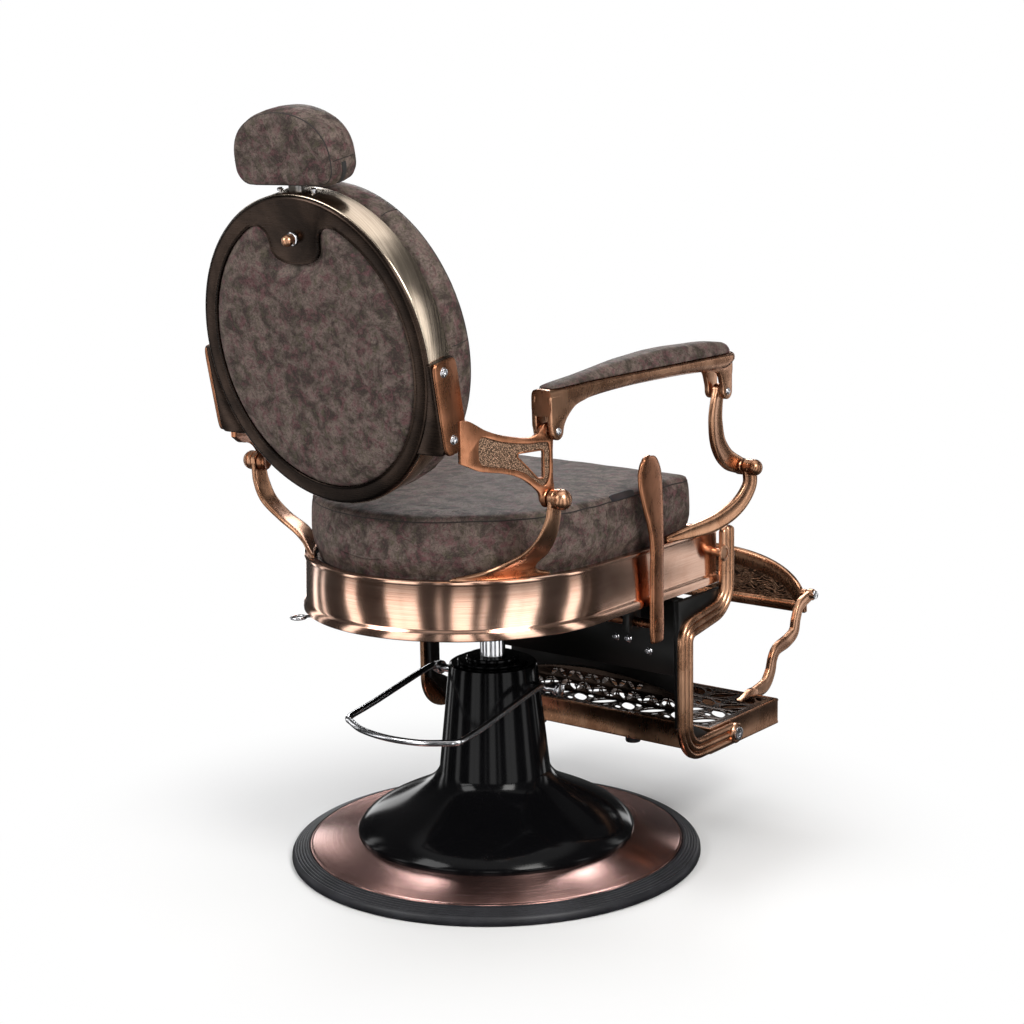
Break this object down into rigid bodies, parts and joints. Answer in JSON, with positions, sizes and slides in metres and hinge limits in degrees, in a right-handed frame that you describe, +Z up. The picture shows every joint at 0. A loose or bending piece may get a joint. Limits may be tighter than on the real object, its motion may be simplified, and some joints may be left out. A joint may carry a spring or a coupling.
{
  "type": "hydraulic barber chair",
  "caption": "Barber chair on a round pumped base, with a round reclining back, scrolled arms, a head rest and a swinging leg rest with a foot board.",
  "frame": {"origin": "on the floor under the axis of the pump column", "axes": "+Z up, the sitter faces -Y, the sitter's right hand is at -X"},
  "size_m": [0.7199, 1.211, 1.3025],
  "materials": {
    "rubber": "matt, fine concentric grooves",
    "plate_steel": "satin",
    "brushed_copper": "brushed antique copper plate",
    "black_gloss": "gloss black enamel",
    "black_metal": "satin black",
    "chrome": "polished",
    "antique_copper": "antique copper plate, dark in the recesses",
    "dark_bronze": "dark bronze plate",
    "leather": "mottled vintage leather",
    "plywood": "bare"
  },
  "bodies": {
    "base": {"base_ring": "rubber", "floor_plate": "plate_steel", "base_cover": "brushed_copper", "column_cover": "black_gloss", "column_collar": "chrome", "pump_cylinder": "plate_steel", "pedal_pivots": "chrome"},
    "pedal": {"pump_pedal": "chrome"},
    "lift": {"lifting_rod": "chrome"},
    "seat": {"swivel_head": "black_metal", "seat_plate": "black_metal", "seat_band": "brushed_copper", "seat_board": "plywood", "seat_cushion": "leather", "recline_lock": "black_metal", "rear_bracket_right": "antique_copper", "rear_bracket_left": "antique_copper", "front_bracket_right": "antique_copper", "front_bracket_left": "antique_copper", "pivot_caps": "antique_copper", "leg_pins": "plate_steel"},
    "lever": {"recline_lever": "antique_copper"},
    "brake": {"swivel_brake_lever": "chrome"},
    "back": {"back_frame": "dark_bronze", "back_board": "plywood", "back_cushion": "leather", "rear_panel": "leather", "side_bracket_right": "antique_copper", "side_bracket_left": "antique_copper", "bracket_screws": "chrome"},
    "knob": {"headrest_knob": "antique_copper"},
    "post": {"headrest_post": "plate_steel"},
    "headrest": {"headrest_bracket": "plate_steel", "headrest_cushion": "leather"},
    "arm_right": {"armrest_right": "antique_copper", "arm_pad_right": "leather", "arm_pin_right": "chrome"},
    "arm_left": {"armrest_left": "antique_copper", "arm_pad_left": "leather", "arm_pin_left": "chrome"},
    "link_right": {"front_link_right": "antique_copper"},
    "link_left": {"front_link_left": "antique_copper"},
    "legrest": {"leg_rail_right": "antique_copper", "leg_rail_left": "antique_copper", "leg_side_right": "black_metal", "leg_side_left": "black_metal", "calf_panel": "black_metal", "panel_screws": "chrome", "calf_pad": "leather", "foot_tray": "antique_copper", "foot_grille": "dark_bronze", "heel_grille": "dark_bronze", "heel_board": "black_metal", "tray_bolts": "chrome", "tray_buffers": "rubber", "board_arm_right": "antique_copper", "board_arm_left": "antique_copper", "board_pins": "chrome"},
    "footboard": {"foot_board": "antique_copper", "foot_board_pad": "leather"}
  },
  "joints": [
    {"name": "lift_slide", "type": "slide", "parent": "base", "child": "lift", "axis": [0, 0, 1], "range_m": [0, 0.15]},
    {"name": "pedal_press", "type": "hinge", "parent": "base", "child": "pedal", "pos_m": [0, -0.01, 0.31], "axis": [-1, 0, 0], "range_deg": [0, 12], "stiffness_Nm_per_rad": 5, "springref_deg": -34.38},
    {"name": "seat_swivel", "type": "hinge", "parent": "lift", "child": "seat", "pos_m": [0, 0, 0.44], "axis": [0, 0, 1], "continuous": true},
    {"name": "back_recline", "type": "hinge", "parent": "seat", "child": "back", "pos_m": [0, 0.236, 0.702], "axis": [-1, 0, 0], "range_deg": [0, 38]},
    {"name": "armrest_right_tilt", "type": "hinge", "parent": "back", "child": "arm_right", "pos_m": [-0.302, 0.231, 0.806], "axis": [1, 0, 0], "range_deg": [0, 43.3]},
    {"name": "armrest_left_tilt", "type": "hinge", "parent": "back", "child": "arm_left", "pos_m": [0.302, 0.231, 0.806], "axis": [1, 0, 0], "range_deg": [0, 43.3]},
    {"name": "front_link_right_swing", "type": "hinge", "parent": "seat", "child": "link_right", "pos_m": [-0.302, -0.324, 0.667], "axis": [-1, 0, 0], "range_deg": [0, 32.8]},
    {"name": "front_link_left_swing", "type": "hinge", "parent": "seat", "child": "link_left", "pos_m": [0.302, -0.324, 0.667], "axis": [-1, 0, 0], "range_deg": [0, 32.8]},
    {"name": "legrest_swing", "type": "hinge", "parent": "seat", "child": "legrest", "pos_m": [0, -0.278, 0.52], "axis": [-1, 0, 0], "range_deg": [0, 38]},
    {"name": "footboard_flip", "type": "hinge", "parent": "legrest", "child": "footboard", "pos_m": [0, -0.685, 0.356], "axis": [1, 0, 0], "range_deg": [0, 180]},
    {"name": "recline_lever_pull", "type": "hinge", "parent": "seat", "child": "lever", "pos_m": [-0.29, -0.08, 0.432], "axis": [-1, 0, 0], "range_deg": [0, 20], "stiffness_Nm_per_rad": 6, "springref_deg": -17.19},
    {"name": "swivel_brake_turn", "type": "hinge", "parent": "seat", "child": "brake", "pos_m": [0.112, 0.15, 0.455], "axis": [0, 0, 1], "range_deg": [0, 25]},
    {"name": "headrest_slide", "type": "slide", "parent": "back", "child": "post", "axis": [0, 0.1908, 0.9816], "range_m": [0, 0.09]},
    {"name": "headrest_tilt", "type": "hinge", "parent": "post", "child": "headrest", "pos_m": [0, 0.45278, 1.20012], "axis": [1, 0, 0], "range_deg": [-12, 12]},
    {"name": "headrest_knob_turn", "type": "hinge", "parent": "back", "child": "knob", "pos_m": [0, 0.46131, 1.1025], "axis": [0, 0.9816, -0.1908], "range_deg": [0, 360]}
  ],
  "couplings": [
    {"joint": "armrest_right_tilt", "follows": "back_recline", "ratio": 1.14},
    {"joint": "armrest_left_tilt", "follows": "back_recline", "ratio": 1.14},
    {"joint": "front_link_right_swing", "follows": "back_recline", "ratio": 0.864},
    {"joint": "front_link_left_swing", "follows": "back_recline", "ratio": 0.864},
    {"joint": "legrest_swing", "follows": "back_recline", "ratio": 1}
  ]
}
